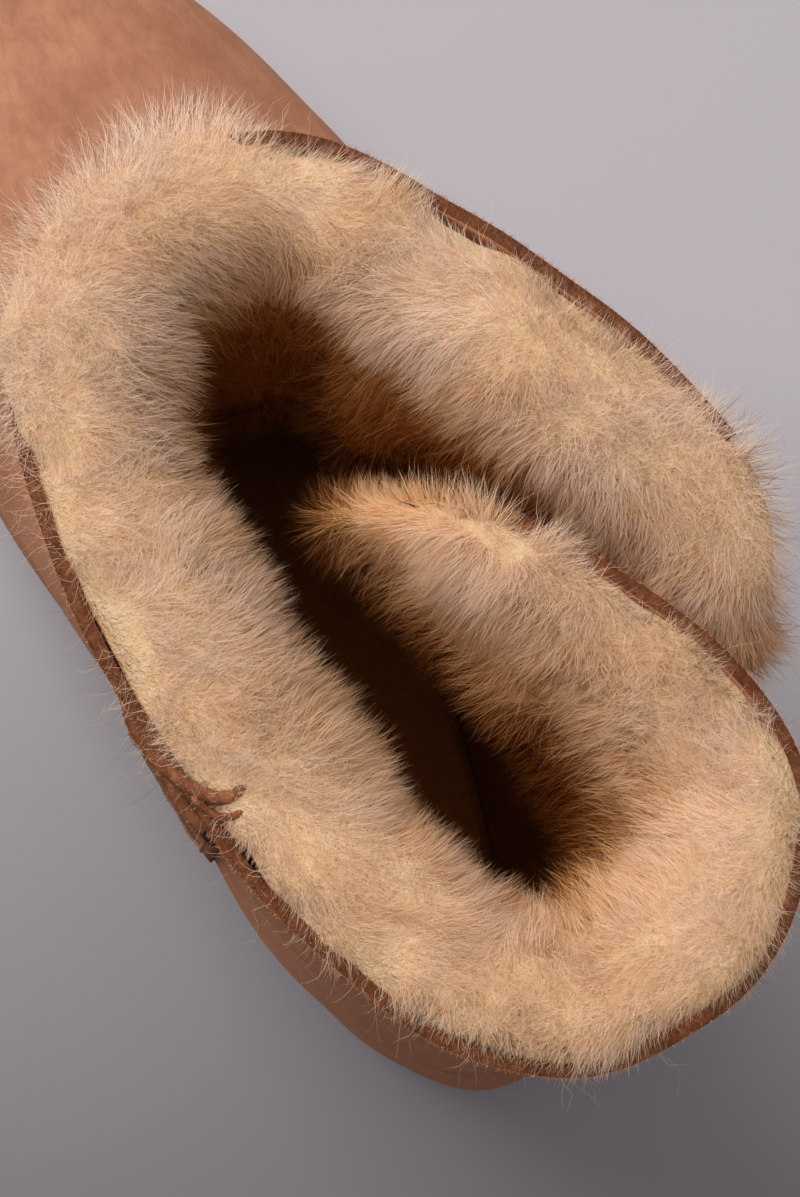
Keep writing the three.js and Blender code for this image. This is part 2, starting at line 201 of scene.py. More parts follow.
class Nodes:
    def __init__(self, tree):
        self.tree = tree

    def add(self, kind, links=None, **settings):
        node = self.tree.nodes.new(kind)
        for name, value in settings.items():
            setattr(node, name, value)
        for socket, value in (links or {}).items():
            target = node.inputs[socket]
            if isinstance(value, bpy.types.NodeSocket):
                self.tree.links.new(value, target)
            else:
                target.default_value = value
        return node

    def math(self, operation, *values):
        return self.add("ShaderNodeMath", dict(enumerate(values)), operation=operation).outputs[0]

    def mixColour(self, factor, a, b, kind="MIX"):
        node = self.add("ShaderNodeMix", data_type="RGBA", blend_type=kind)
        for index, value in ((0, factor), (6, a), (7, b)):
            if isinstance(value, bpy.types.NodeSocket):
                self.tree.links.new(value, node.inputs[index])
            else:
                node.inputs[index].default_value = value
        return node.outputs[2]

    def ramp(self, value, *stops):
        node = self.add("ShaderNodeValToRGB", {"Fac": value})
        ramp = node.color_ramp
        while len(ramp.elements) < len(stops):
            ramp.elements.new(0.5)
        for element, (position, colour) in zip(ramp.elements, stops):
            element.position = position
            element.color = (*colour, 1) if isinstance(colour, tuple) else (colour, colour, colour, 1)
        return node.outputs[0]


# Brushed nap: a soft mottle, short streaks where the pile lies another way, and a fine fibrous height.
def makeNapGroup():
    group, inside, outside = newGroup("brushedNap", [
        ("Mottle Size", "NodeSocketFloat", 40.0),
        ("Streak Size", "NodeSocketFloat", 130.0),
        ("Fibre Size", "NodeSocketFloat", 1600.0),
    ], [("Mottle", "NodeSocketFloat"), ("Streaks", "NodeSocketFloat"), ("Height", "NodeSocketFloat")])
    n = Nodes(group)
    where = n.add("ShaderNodeTexCoord").outputs["Object"]
    mottle = n.add("ShaderNodeTexNoise", {
        "Vector": where, "Scale": inside.outputs["Mottle Size"], "Detail": 4.0, "Roughness": 0.6})
    turned = n.add("ShaderNodeMapping", {
        "Vector": where, "Rotation": (0.3, 0.5, 0.9), "Scale": (1, 3.2, 2.2)})
    streak = n.add("ShaderNodeTexNoise", {
        "Vector": turned.outputs[0], "Scale": inside.outputs["Streak Size"], "Detail": 5.0,
        "Roughness": 0.65, "Distortion": 0.8})
    fibre = n.add("ShaderNodeTexNoise", {
        "Vector": where, "Scale": inside.outputs["Fibre Size"], "Detail": 3.0, "Roughness": 0.7})
    height = n.math("ADD", n.math("MULTIPLY", streak.outputs["Fac"], 0.5), fibre.outputs["Fac"])
    n.tree.links.new(mottle.outputs["Fac"], outside.inputs["Mottle"])
    n.tree.links.new(streak.outputs["Fac"], outside.inputs["Streaks"])
    n.tree.links.new(height, outside.inputs["Height"])
    return group


napGroup = makeNapGroup()


def newMaterial(name):
    material = bpy.data.materials.new(name)
    material.use_nodes = True
    return material, Nodes(material.node_tree), material.node_tree.nodes["Principled BSDF"]


def useGroup(n, group, **values):
    node = n.add("ShaderNodeGroup", node_tree=group)
    for label, value in values.items():
        node.inputs[label.replace("_", " ")].default_value = value
    return node


def suedeMaterial(name, look):
    material, n, shader = newMaterial(name)
    nap = useGroup(n, napGroup, Mottle_Size=look["mottleSize"], Streak_Size=look["streakSize"],
                   Fibre_Size=look["fibreSize"])
    base = n.mixColour(n.ramp(nap.outputs["Mottle"], (0.32, 0.0), (0.68, 1.0)), look["dark"], look["light"])
    streaks = n.ramp(nap.outputs["Streaks"], (0.42, 0.0), (0.6, 1.0))
    base = n.mixColour(n.math("MULTIPLY", streaks, look["streakAmount"]), base, look["streak"])
    n.tree.links.new(base, shader.inputs["Base Color"])
    bump = n.add("ShaderNodeBump", {
        "Strength": look["bump"], "Distance": 0.0006, "Height": nap.outputs["Height"]})
    n.tree.links.new(bump.outputs[0], shader.inputs["Normal"])
    shader.inputs["Roughness"].default_value = 0.95
    shader.inputs["Specular IOR Level"].default_value = 0.12
    shader.inputs["Sheen Weight"].default_value = look["sheen"]
    shader.inputs["Sheen Roughness"].default_value = 0.45
    shader.inputs["Sheen Tint"].default_value = look["light"]
    return material


suedeLook = dict(
    dark=(0.30, 0.128, 0.070, 1), light=(0.46, 0.215, 0.128, 1), streak=(0.23, 0.090, 0.045, 1),
    mottleSize=38.0, streakSize=120.0, fibreSize=1900.0, streakAmount=0.28, bump=0.4, sheen=0.35,
)
cutLook = dict(
    dark=(0.10, 0.030, 0.011, 1), light=(0.32, 0.125, 0.058, 1), streak=(0.15, 0.046, 0.018, 1),
    mottleSize=420.0, streakSize=700.0, fibreSize=2600.0, streakAmount=0.7, bump=1.0, sheen=0.2,
)
stripLook = dict(
    dark=(0.20, 0.072, 0.032, 1), light=(0.38, 0.150, 0.070, 1), streak=(0.13, 0.044, 0.019, 1),
    mottleSize=60.0, streakSize=200.0, fibreSize=1900.0, streakAmount=0.5, bump=0.6, sheen=0.25,
)
foldLook = dict(
    dark=(0.20, 0.066, 0.030, 1), light=(0.42, 0.165, 0.085, 1), streak=(0.15, 0.045, 0.020, 1),
    mottleSize=300.0, streakSize=500.0, fibreSize=2600.0, streakAmount=0.6, bump=0.9, sheen=0.2,
)
suede = suedeMaterial("suede", suedeLook)
foldSuede = suedeMaterial("suedeFold", foldLook)
cutSuede = suedeMaterial("suedeCutEdge", cutLook)
stripSuede = suedeMaterial("suedeStrip", stripLook)


def threadMaterial():
    material, n, shader = newMaterial("thread")
    where = n.add("ShaderNodeTexCoord").outputs["Object"]
    twist = n.add("ShaderNodeTexNoise", {"Vector": where, "Scale": 900.0, "Detail": 2.0})
    colour = n.ramp(twist.outputs["Fac"], (0.35, (0.20, 0.085, 0.042)), (0.65, (0.33, 0.15, 0.08)))
    n.tree.links.new(colour, shader.inputs["Base Color"])
    shader.inputs["Roughness"].default_value = 0.7
    return material


# Loose suede fibres: paler at the outer side of a cut edge, partly the suede face's own colour and partly a
# painted highlight where that edge catches the light.
def fuzzMaterial():
    material, n, shader = newMaterial("suedeFuzz")
    tone = n.add("ShaderNodeAttribute", attribute_name="tone").outputs["Fac"]
    colour = n.ramp(tone, (0.0, (0.10, 0.028, 0.010)), (0.5, (0.30, 0.105, 0.045)), (1.0, (0.62, 0.30, 0.16)))
    n.tree.links.new(colour, shader.inputs["Base Color"])
    shader.inputs["Roughness"].default_value = 0.85
    shader.inputs["Specular IOR Level"].default_value = 0.1
    return material


thread = threadMaterial()
fuzz = fuzzMaterial()

woolLook = dict(
    root=(0.78, 0.47, 0.24), middle=(0.91, 0.62, 0.39), tip=(1.0, 0.775, 0.61),
    pale=(1.0, 0.81, 0.69), golden=(0.95, 0.64, 0.38), through=0.34, glow=(1.0, 0.82, 0.62, 1),
)


# Painted shade: the wool's colour is made browner and darker with depth below the collar, as the open
# attribute falls.
def makeDepthShadeGroup():
    group, inside, outside = newGroup(
        "woolDepthShade", [("Colour", "NodeSocketColor", (0.8, 0.6, 0.4, 1))], [("Colour", "NodeSocketColor")])
    n = Nodes(group)
    openness = n.add("ShaderNodeAttribute", attribute_name="open").outputs["Fac"]
    shade = n.ramp(openness, (0.0, (0.42, 0.18, 0.06)), (0.35, (0.34, 0.14, 0.04)),
                   (0.60, (0.44, 0.19, 0.06)), (0.74, (0.66, 0.38, 0.16)), (0.85, (0.93, 0.71, 0.44)),
                   (0.94, (1.0, 0.95, 0.87)), (1.0, (1.0, 1.0, 1.0)))
    shaded = n.mixColour(1.0, inside.outputs["Colour"], shade, "MULTIPLY")
    n.tree.links.new(shaded, outside.inputs["Colour"])
    return group


depthShadeGroup = makeDepthShadeGroup()


# Wool fibres: golden near the skin, creamy along their length, paler at the tips.
def woolMaterial(name, look):
    material, n, shader = newMaterial(name)
    along = n.add("ShaderNodeAttribute", attribute_name="along").outputs["Fac"]
    tone = n.add("ShaderNodeAttribute", attribute_name="tone").outputs["Fac"]
    colour = n.ramp(along, (0.0, look["root"]), (0.45, look["middle"]), (1.0, look["tip"]))
    colour = n.mixColour(n.ramp(tone, (0.5, 0.0), (1.0, 0.8)), colour, (*look["pale"], 1))
    colour = n.mixColour(n.ramp(tone, (0.0, 0.7), (0.45, 0.0)), colour, (*look["golden"], 1))
    # Painted shade by depth below the collar.
    colour = n.add("ShaderNodeGroup", {0: colour}, node_tree=depthShadeGroup).outputs[0]
    n.tree.links.new(colour, shader.inputs["Base Color"])
    shader.inputs["Roughness"].default_value = 0.8
    shader.inputs["Specular IOR Level"].default_value = 0.06
    lie = n.add("ShaderNodeAttribute", attribute_name="lie").outputs["Vector"]
    n.tree.links.new(lie, shader.inputs["Normal"])
    material.cycles.use_bump_map_correction = False
    glow = n.mixColour(1.0, colour, look["glow"], "MULTIPLY")
    through = n.add("ShaderNodeBsdfTranslucent", {"Color": glow})
    both = n.add("ShaderNodeMixShader", {0: look["through"], 1: shader.outputs[0], 2: through.outputs[0]})
    n.tree.links.new(both.outputs[0], n.tree.nodes["Material Output"].inputs["Surface"])
    return material


wool = woolMaterial("wool", woolLook)


# The dense wool under the loose tips.
def matMaterial():
    material, n, shader = newMaterial("woolMat")
    where = n.add("ShaderNodeTexCoord").outputs["Object"]
    clumps = n.add("ShaderNodeTexNoise", {"Vector": where, "Scale": 260.0, "Detail": 6.0, "Roughness": 0.7})
    fine = n.add("ShaderNodeTexNoise", {"Vector": where, "Scale": 1500.0, "Detail": 3.0})
    colour = n.ramp(clumps.outputs["Fac"], (0.3, (0.64, 0.41, 0.22)), (0.7, (0.78, 0.56, 0.36)))
    # Painted shade by depth below the collar.
    colour = n.add("ShaderNodeGroup", {0: colour}, node_tree=depthShadeGroup).outputs[0]
    n.tree.links.new(colour, shader.inputs["Base Color"])
    height = n.math("ADD", clumps.outputs["Fac"], n.math("MULTIPLY", fine.outputs["Fac"], 0.4))
    bump = n.add("ShaderNodeBump", {"Strength": 0.9, "Distance": 0.002, "Height": height})
    n.tree.links.new(bump.outputs[0], shader.inputs["Normal"])
    shader.inputs["Roughness"].default_value = 1.0
    shader.inputs["Specular IOR Level"].default_value = 0.05
    return material


woolMat = matMaterial()
print("materials ready")


# Mesh helpers.

def meshPiece(name, points, faces, material, replaces, smoothFaces=True):
    mesh = bpy.data.meshes.new(name)
    mesh.from_pydata([tuple(p) for p in points], [], faces)
    if smoothFaces:
        mesh.shade_smooth()
    return finishPiece(name, mesh, material, replaces)


def finishPiece(name, mesh, material, replaces):
    piece = bpy.data.objects.new(name, mesh)
    bpy.context.scene.collection.objects.link(piece)
    mesh.materials.append(material)
    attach(piece, "root")
    if replaces:
        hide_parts(*replaces)
    return piece


def usedOnly(points, faces):
    used = np.zeros(len(points), bool)
    used[[corner for face in faces for corner in face]] = True
    renumber = (np.cumsum(used) - 1).tolist()
    return used, [tuple(renumber[c] for c in face) for face in faces]


def applyModifiers(piece):
    evaluated = piece.evaluated_get(bpy.context.evaluated_depsgraph_get())
    made = bpy.data.meshes.new_from_object(evaluated)
    piece.modifiers.clear()
    old = piece.data
    piece.data = made
    bpy.data.meshes.remove(old)


# Each fibre's line: a start, a tip and a soft bend towards the knee between them.
def bentLines(root, knee, tip, segments):
    t = np.linspace(0, 1, segments + 1)[None, :, None]
    return (1 - t) ** 2 * root[:, None] + 2 * t * (1 - t) * knee[:, None] + t * t * tip[:, None]


# Tapered flat fibres as one mesh. The flat side faces the way the wool does, more or less.
def fibreMesh(name, centre, halfWidth, tone, openness, lie, roll):
    count, segments = centre.shape[0], centre.shape[1] - 1
    t = np.linspace(0, 1, segments + 1)
    along = unit(centre[:, 1:] - centre[:, :-1])
    side = unit(np.cross(along, (lie + roll)[:, None]))
    width = halfWidth[:, None, None] * (1 - t[None, :-1, None] ** 1.6 * 0.75)
    left = centre[:, :-1] - side * width
    right = centre[:, :-1] + side * width
    points = np.concatenate([
        np.stack([left, right], 2).reshape(count, -1, 3), centre[:, -1:]], 1)
    each = 2 * segments + 1
    quad = np.array([[2 * k, 2 * k + 1, 2 * k + 3, 2 * k + 2] for k in range(segments - 1)])
    corners = np.concatenate([quad.reshape(-1), [2 * segments - 2, 2 * segments - 1, 2 * segments]])
    loops = (corners[None, :] + each * np.arange(count)[:, None]).reshape(-1)
    starts = np.concatenate([4 * np.arange(segments - 1), [4 * (segments - 1)]])
    starts = (starts[None, :] + len(corners) * np.arange(count)[:, None]).reshape(-1)
    mesh = bpy.data.meshes.new(name)
    mesh.vertices.add(count * each)
    mesh.loops.add(len(loops))
    mesh.polygons.add(len(starts))
    mesh.vertices.foreach_set("co", place(points.reshape(-1, 3)).reshape(-1))
    mesh.loops.foreach_set("vertex_index", loops)
    mesh.polygons.foreach_set("loop_start", starts)
    mesh.update(calc_edges=True)
    alongValue = np.concatenate([np.repeat(t[:-1], 2), [1.0]])
    shared = dict(
        along=np.tile(alongValue, count), tone=np.repeat(tone, each), open=np.repeat(openness, each))
    for label, values in shared.items():
        mesh.attributes.new(label, "FLOAT", "POINT").data.foreach_set("value", values.astype(np.float32))
    lies = np.repeat(lie, each, axis=0).astype(np.float32)
    mesh.attributes.new("lie", "FLOAT_VECTOR", "POINT").data.foreach_set("vector", lies.reshape(-1))
    return mesh


# The leather.

leatherShape = dict(
    thickness=2.0,
    rows=84,
    columns=240,
    shortRing=[6, 6.4, 7.5, 9, 10],  # the rings that the next two are given for
    flapShort=[0, 2, 5, 12, 20],  # degrees of wool beyond the flap's leather
    tuckShort=[0, 3, 8, 8, 2],  # and beyond the tucked panel's
    dentHeight=0.55,
    dentWave=34,
    rimWave=0.5,
)
# Soft creases: ring and angle of the middle, reach in degrees, width in rings, depth in mm.
creases = [
    dict(ring=6.2, angle=8, reach=46, width=0.35, depth=1.6, slope=0.010),
    dict(ring=5.3, angle=-6, reach=38, width=0.3, depth=1.1, slope=-0.008),
    dict(ring=7.3, angle=18, reach=40, width=0.35, depth=1.2, slope=0.006),
    dict(ring=6.7, angle=186, reach=42, width=0.4, depth=1.4, slope=0.008),
    dict(ring=7.9, angle=172, reach=36, width=0.4, depth=0.9, slope=-0.006),
    dict(ring=4.4, angle=62, reach=22, width=0.4, depth=0.8, slope=0.02),
]


def leatherRelief(ring, angle, points):
    relief = leatherShape["dentHeight"] * waves(points, leatherShape["dentWave"], 3)
    for crease in creases:
        away = angle - crease["angle"]
        across = (ring - crease["ring"] - crease["slope"] * away) / crease["width"]
        profile = np.exp(-across ** 2) - 0.45 * np.exp(-(np.abs(across) - 1.6) ** 2 * 1.5)
        relief = relief - crease["depth"] * profile * np.exp(-(away / crease["reach"]) ** 2)
    return relief * np.clip(ring / 0.8, 0, 1)


def leatherSpan(ring):
    flapShort, tuckShort = (
        np.interp(ring, leatherShape["shortRing"], leatherShape[name]) for name in ("flapShort", "tuckShort"))
    return -(wrapAt("flap", ring) - flapShort), 360 - wrapAt("tuck", ring) - tuckShort


def makeLeather():
    rings = np.concatenate([
        np.linspace(0, slitRing, int(leatherShape["rows"] * 0.5))[:-1],
        np.linspace(slitRing, collarRing, int(leatherShape["rows"] * 0.5)),
    ])
    low, high = leatherSpan(rings)
    share = np.linspace(0, 1, leatherShape["columns"] + 1)
    angle = mix(low[:, None], high[:, None], share[None, :])
    ring = np.broadcast_to(rings[:, None], angle.shape)
    points = leatherPoint(ring, angle)
    points = points + outward(ring, angle) * leatherRelief(ring, angle, points)[..., None]
    edge = blend01(9.6, 10, ring)
    points[..., 2] += edge * leatherShape["rimWave"] * waves(points, 22, 5)
    corner = np.clip(1 - (high[:, None] - angle) / 9, 0, 1) ** 2
    points[..., 2] -= 5 * corner * blend01(9, 10, ring)
    points[..., 2][ring == 0] -= 0.3
    width = angle.shape[1]
    closed = rings <= slitRing + 1e-6

    def at(j, i):
        return j * width + (0 if closed[j] and i == width - 1 else i)

    faces = []
    for j in range(len(rings) - 1):
        for i in range(width - 1):
            face = [at(j, i), at(j, i + 1), at(j + 1, i + 1), at(j + 1, i)]
            faces.append(tuple(dict.fromkeys(face)))
    flat = place(points.reshape(-1, 3))
    used, faces = usedOnly(flat, faces)
    piece = meshPiece("upper_leather", flat[used], faces, suede, ["upper"])
    piece.data.materials.append(cutSuede)
    shell = piece.modifiers.new("shell", "SOLIDIFY")
    shell.thickness = leatherShape["thickness"] * mm
    shell.offset = -1
    shell.use_even_offset = True
    shell.material_offset_rim = 1
    applyModifiers(piece)
    return piece


leather = makeLeather()
print("leather ready", len(leather.data.polygons))


# The dense wool under the tips.

woolShape = dict(
    outerRows=26, rimRows=8, crownRows=12, innerRows=44, columns=300,
    crownRise=1.6,      # mm above the collar
    crownAt=0.36,       # share of the wall where the wool stands highest
    innerShare=0.84,    # share of the CAD's wall that is dense wool
    innerMore=0.10,     # more of it on the inner side
    frontLess=0.14,     # less of it at the front
    slopeMore=8.0,      # mm more below the collar in the front panel
    wrapFill=8.0,       # mm more where the flap's wool fills the wrap
    paintedShadeDepth=85.0,     # mm below the collar where the painted shade on the wool is deepest
    footMore=0.24,      # more of it beside the insole
    behind=4.4,         # mm from the leather's outer side, where leather covers the wool
    crownDepth=15.0,    # mm below the crown's top, where the inner side starts
    bottomRing=0.12,
    rimStart=1.9,       # mm inside the leather's outer side, where the rim's wool starts
    rimStartEnds=0.2,   # the same at the free ends
    rimStartFront=-2.4, # and at the front, where the wool spills over the leather
    rimUnder=-2.2,      # mm from the collar up to that start
    rimUnderEnds=-1.0,
    rimUnderFront=-2.6,
    endRound=10.0,      # mm over which the free ends thin to a rounded edge
    degree=0.78,        # mm along the collar for a degree
)
shaftSlope = 31.0  # mm of height for a ring, near the collar


# 1 where the wool hides the leather's rim: over the front, and at both free ends.
def overRim(angle):
    front = blend01(-36, -12, angle) * (1 - blend01(34, 60, angle))
    flapEnd = 1 - blend01(-97, -84, angle)
    tuckEnd = blend01(262, 270, angle)
    return np.clip(front + flapEnd + tuckEnd, 0, 1)


def woolGrid():
    s = woolShape
    outer = np.linspace(0, 1, s["outerRows"], endpoint=False)
    rim = np.linspace(0, 1, s["rimRows"], endpoint=False)
    crown = np.linspace(0, 1, s["crownRows"], endpoint=False)
    inner = np.linspace(0, 1, s["innerRows"])
    kind = np.concatenate([np.full(len(v), k) for k, v in enumerate((outer, rim, crown, inner))])[:, None]
    t = np.concatenate([outer, rim, crown, inner])[:, None]
    crownRing = collarRing - (s["crownDepth"] - s["crownRise"]) / shaftSlope
    ring = np.where(kind == 0, mix(s["bottomRing"], collarRing, t), collarRing)
    ring = np.where(kind == 2, mix(collarRing, crownRing, 1 - np.cos(t * math.pi / 2)), ring)
    ring = np.where(kind == 3, mix(crownRing, s["bottomRing"], t), ring)
    share = np.linspace(0, 1, s["columns"] + 1)[None, :]
    low, high = -wrapAt("flap", ring), 360 - wrapAt("tuck", ring)
    angle = mix(low, high, share)
    ring, kind, t = (np.broadcast_to(v, angle.shape) for v in (ring, kind, t))
    inWrap = (1 - blend01(-94, -68, angle)) * blend01(7, 8.5, ring)
    share = s["innerShare"] + s["innerMore"] * blend01(30, 75, angle) * (1 - blend01(105, 140, angle))
    share = share + s["footMore"] * (1 - blend01(0.8, 2, ring))
    share = share - s["frontLess"] * blend01(-62, -40, angle) * (1 - blend01(0, 24, angle))
    slope = blend01(-104, -84, angle) * (1 - blend01(-10, 20, angle))
    slope = slope * blend01(0.25, 1.5, collarRing - ring) * blend01(6.4, 7.4, ring)
    depth = wallDepth(ring, angle) * share + s["wrapFill"] * inWrap + s["slopeMore"] * slope
    over = overRim(angle)
    front = blend01(-36, -12, angle) * (1 - blend01(40, 62, angle))
    start = mix(s["rimStart"], mix(s["rimStartEnds"], s["rimStartFront"], front), over)
    quarter = t * math.pi / 2
    top = depth * s["crownAt"]
    fromEnd = np.minimum(angle - low, high - angle) * s["degree"]
    covered = blend01(8, 22, fromEnd) * blend01(0, 0.05, 1 - t)
    offset = np.where(kind == 0, mix(np.where(t > 0.985, start, 1.4), s["behind"], covered), depth)
    offset = np.where(kind == 1, start + (top - start) * (1 - np.cos(quarter)), offset)
    offset = np.where(kind == 2, top + (depth - top) * np.sin(quarter), offset)
    under = mix(s["rimUnder"], mix(s["rimUnderEnds"], s["rimUnderFront"], front), over)
    rise = np.where(kind == 1, mix(under, s["crownRise"], np.sin(quarter) ** mix(1, 0.6, front)), 0)
    rise = np.where(kind == 0, mix(0, under - 0.4, blend01(0.8, 1, t)), rise)
    rise = np.where(kind == 2, s["crownRise"] * np.cos(quarter), rise)
    pinch = np.sqrt(1 - (1 - np.clip(fromEnd / s["endRound"], 0, 1)) ** 2)
    pinch = mix(1, pinch, blend01(slitRing, slitRing + 0.4, ring))
    offset = mix(depth * 0.5, offset, pinch)
    rise = rise - 5 * (1 - pinch) * (kind > 0) * (kind < 3)
    points = leatherPoint(ring, angle) - outward(ring, angle) * offset[..., None]
    points[..., 2] += rise
    loose = np.where(kind == 0, 1 - blend01(7, 15, fromEnd), 1.0)
    return points, ring, angle, kind, t, loose, fromEnd


def gridNormals(points):
    down = np.gradient(points, axis=0)
    across = np.gradient(points, axis=1)
    return unit(np.cross(across, down))


# How much the painted shade on the deep wool is lifted, or deepened where negative, by the angle around the
# collar.
woolShadeLift = dict(
    angle=[-114, -60, -40, -10, 12, 35, 60, 100, 150, 200, 272],
    lift=[0.0, 0.0, -0.09, -0.11, -0.04, 0.07, 0.12, 0.10, 0.12, 0.20, 0.17],
)


def makeWoolSurface():
    points, ring, angle, kind, t, loose, fromEnd = woolGrid()
    normal = gridNormals(points)
    lumps = 0.7 * waves(points, 26, 51) + 0.45 * waves(points, 12, 52) + 0.2 * waves(points, 5, 53)
    lumps = lumps * loose * np.clip(ring / 1.5, 0, 1) * np.where(kind == 3, 1.0, 0.8)
    points = points + normal * lumps[..., None]
    normal = gridNormals(points)
    # The open attribute carries the painted shade: 1 at the collar, 0 far below it; the outer side short of
    # the heel stays at 1.
    openness = np.clip(1 - (collarHeight - points[..., 2]) / woolShape["paintedShadeDepth"], 0, 1)
    openness = np.where((kind == 0) & (angle < 180), 1.0, openness)
    lift = np.interp(angle, woolShadeLift["angle"], woolShadeLift["lift"])
    openness = np.clip(openness + lift * blend01(6, 28, collarHeight - points[..., 2]), 0, 1)
    return dict(points=points, normal=normal, ring=ring, angle=angle, kind=kind, t=t, loose=loose,
                open=openness, fromEnd=np.broadcast_to(fromEnd, ring.shape))


woolSurface = makeWoolSurface()


def makeWoolBase():
    points = woolSurface["points"]
    rows, columns = points.shape[:2]
    closed = woolSurface["ring"][:, 0] <= slitRing + 1e-6

    def at(j, i):
        return j * columns + (0 if closed[j] and i == columns - 1 else i)

    faces = []
    for j in range(rows):
        below = (j + 1) % rows
        for i in range(columns - 1):
            face = tuple(dict.fromkeys([at(j, i), at(j, i + 1), at(below, i + 1), at(below, i)]))
            if len(face) > 2:
                faces.append(face)
    flat = place(points.reshape(-1, 3))
    used, faces = usedOnly(flat, faces)
    piece = meshPiece("fleece_base", flat[used], faces, woolMat, ["upper"])
    shade = woolSurface["open"]
    attribute = piece.data.attributes.new("open", "FLOAT", "POINT")
    attribute.data.foreach_set("value", shade.reshape(-1)[used].astype(np.float32))
    return piece


woolBase = makeWoolBase()
print("wool base ready", len(woolBase.data.polygons))


# The loose wool.

arcAngle = np.linspace(-114, 272, 1500)
arcPoint = leatherPoint(np.full(1500, 10.0), arcAngle)
arcLength = np.concatenate([[0], np.cumsum(np.linalg.norm(np.diff(arcPoint[:, :2], axis=0), axis=1))])
fleece = dict(
    pieces=5,
    fibresEach=30000,
    segments=3,
    halfWidth=0.042,
    buried=1.6,       # mm of each fibre that stands in the dense wool
    length=6.4,
    spread=0.24,      # how much neighbours differ in direction
    spreadFront=0.48,
    curl=0.42,
    curlFront=0.65,
    skyward=0.48,     # how far the shading of a fibre turns upwards
    staple=3.4,       # mm across a staple
    pull=0.5,
    share=dict(end=0.08, rim=0.22, crown=0.46, upper=0.19, lower=0.05),
    nearEnds=1.2,     # how many more fibres there are for an area at the free ends
)


def woolCells():
    points = woolSurface["points"]
    side = np.linalg.norm(points[1:, :-1] - points[:-1, :-1], axis=-1)
    across = np.linalg.norm(points[:-1, 1:] - points[:-1, :-1], axis=-1)
    area = side * across
    kind, t = woolSurface["kind"][:-1, :-1], woolSurface["t"][:-1, :-1]
    outerEnd = (kind == 0) & (woolSurface["loose"][:-1, :-1] > 0.05) & (woolSurface["ring"][:-1, :-1] > 6.3)
    regions = dict(
        end=outerEnd, rim=kind == 1, crown=kind == 2,
        upper=(kind == 3) & (t < 0.22), lower=(kind == 3) & (t >= 0.22) & (t < 0.5),
    )
    weight = np.zeros(area.shape)
    for name, inside in regions.items():
        weight += area * inside / max((area * inside).sum(), 1e-9) * fleece["share"][name]
    atEnd = (1 - blend01(3, 9, woolSurface["fromEnd"][:-1, :-1])) * (woolSurface["ring"][:-1, :-1] > 6.3)
    return weight * (1 + fleece["nearEnds"] * atEnd)


cellWeight = woolCells()
cellTotal = np.cumsum(cellWeight.reshape(-1))
cellTotal /= cellTotal[-1]


def sampleSurface(count, own, weight=None):
    total = cellTotal
    if weight is not None:
        total = np.cumsum((cellWeight * weight).reshape(-1))
        total = total / total[-1]
    cell = np.minimum(np.searchsorted(total, own.random(count)), len(total) - 1)
    j, i = np.divmod(cell, cellWeight.shape[1])
    a, b = own.random((2, count))

    def between(grid):
        if grid.ndim == 3:
            p, q = a[:, None], b[:, None]
        else:
            p, q = a, b
        return mix(mix(grid[j, i], grid[j, i + 1], q), mix(grid[j + 1, i], grid[j + 1, i + 1], q), p)

    return dict(
        root=between(woolSurface["points"]), normal=unit(between(woolSurface["normal"])),
        angle=between(woolSurface["angle"]), ring=between(woolSurface["ring"]),
        kind=woolSurface["kind"][j, i],
        t=between(woolSurface["t"]), open=between(woolSurface["open"]),
    )


def tangent(direction, normal):
    return unit(direction - normal * np.sum(direction * normal, -1, keepdims=True))


# How the pile lies: mostly upright, with soft swirls that neighbours share.
def pileField(root, normal, angle, ring, kind, t):
    swirl = np.stack([waves(root, 50, 61), waves(root, 50, 62), waves(root, 50, 63)], -1)
    small = np.stack([waves(root, 16, 64), waves(root, 16, 65), waves(root, 16, 66)], -1)
    up = np.array([0.0, 0.0, 1.0])
    lean = swirl * 0.46 + small * 0.30 + up * np.where(kind == 3, 0.35, 0.0)[:, None]
    over = overRim(angle)
    inwards = np.where(kind == 1, mix(0.62, -0.15, over) * mix(1, 0.35, t), np.where(kind == 2, 0.2, 0.0))
    return unit(normal + lean - levelOut(ring, angle) * inwards[:, None])


def stapleOf(root, size):
    cell = np.floor(root / size + 1e-6)
    key = cell @ np.array([127.1, 311.7, 74.7])
    jitter = (np.sin(key[:, None] * np.array([1.0, 1.7, 2.3, 3.1]) + 0.5) * 43758.5453) % 1.0 - 0.5
    return (cell + 0.5 + jitter[:, :3] * 0.6) * size, jitter


def woolLength(root, angle, kind, t):
    length = fleece["length"] * (1 + 0.13 * waves(root, 26, 71) + 0.08 * waves(root, 8, 72))
    nearRim = (kind == 1) * (1 - blend01(0.25, 0.9, t))
    length = length * mix(1, mix(0.55, 1.3, overRim(angle)), nearRim)
    return length


# Paler wool above 0 and more golden wool below it, by the angle around the collar.
woolTones = dict(
    angle=[-114, -95, -60, -40, -15, 15, 40, 75, 95, 140, 200, 272],
    tone=[0.10, 0.20, 0.18, 0.16, 0.18, 0.22, 0.24, 0.18, 0.0, -0.10, 0.0, 0.06],
)


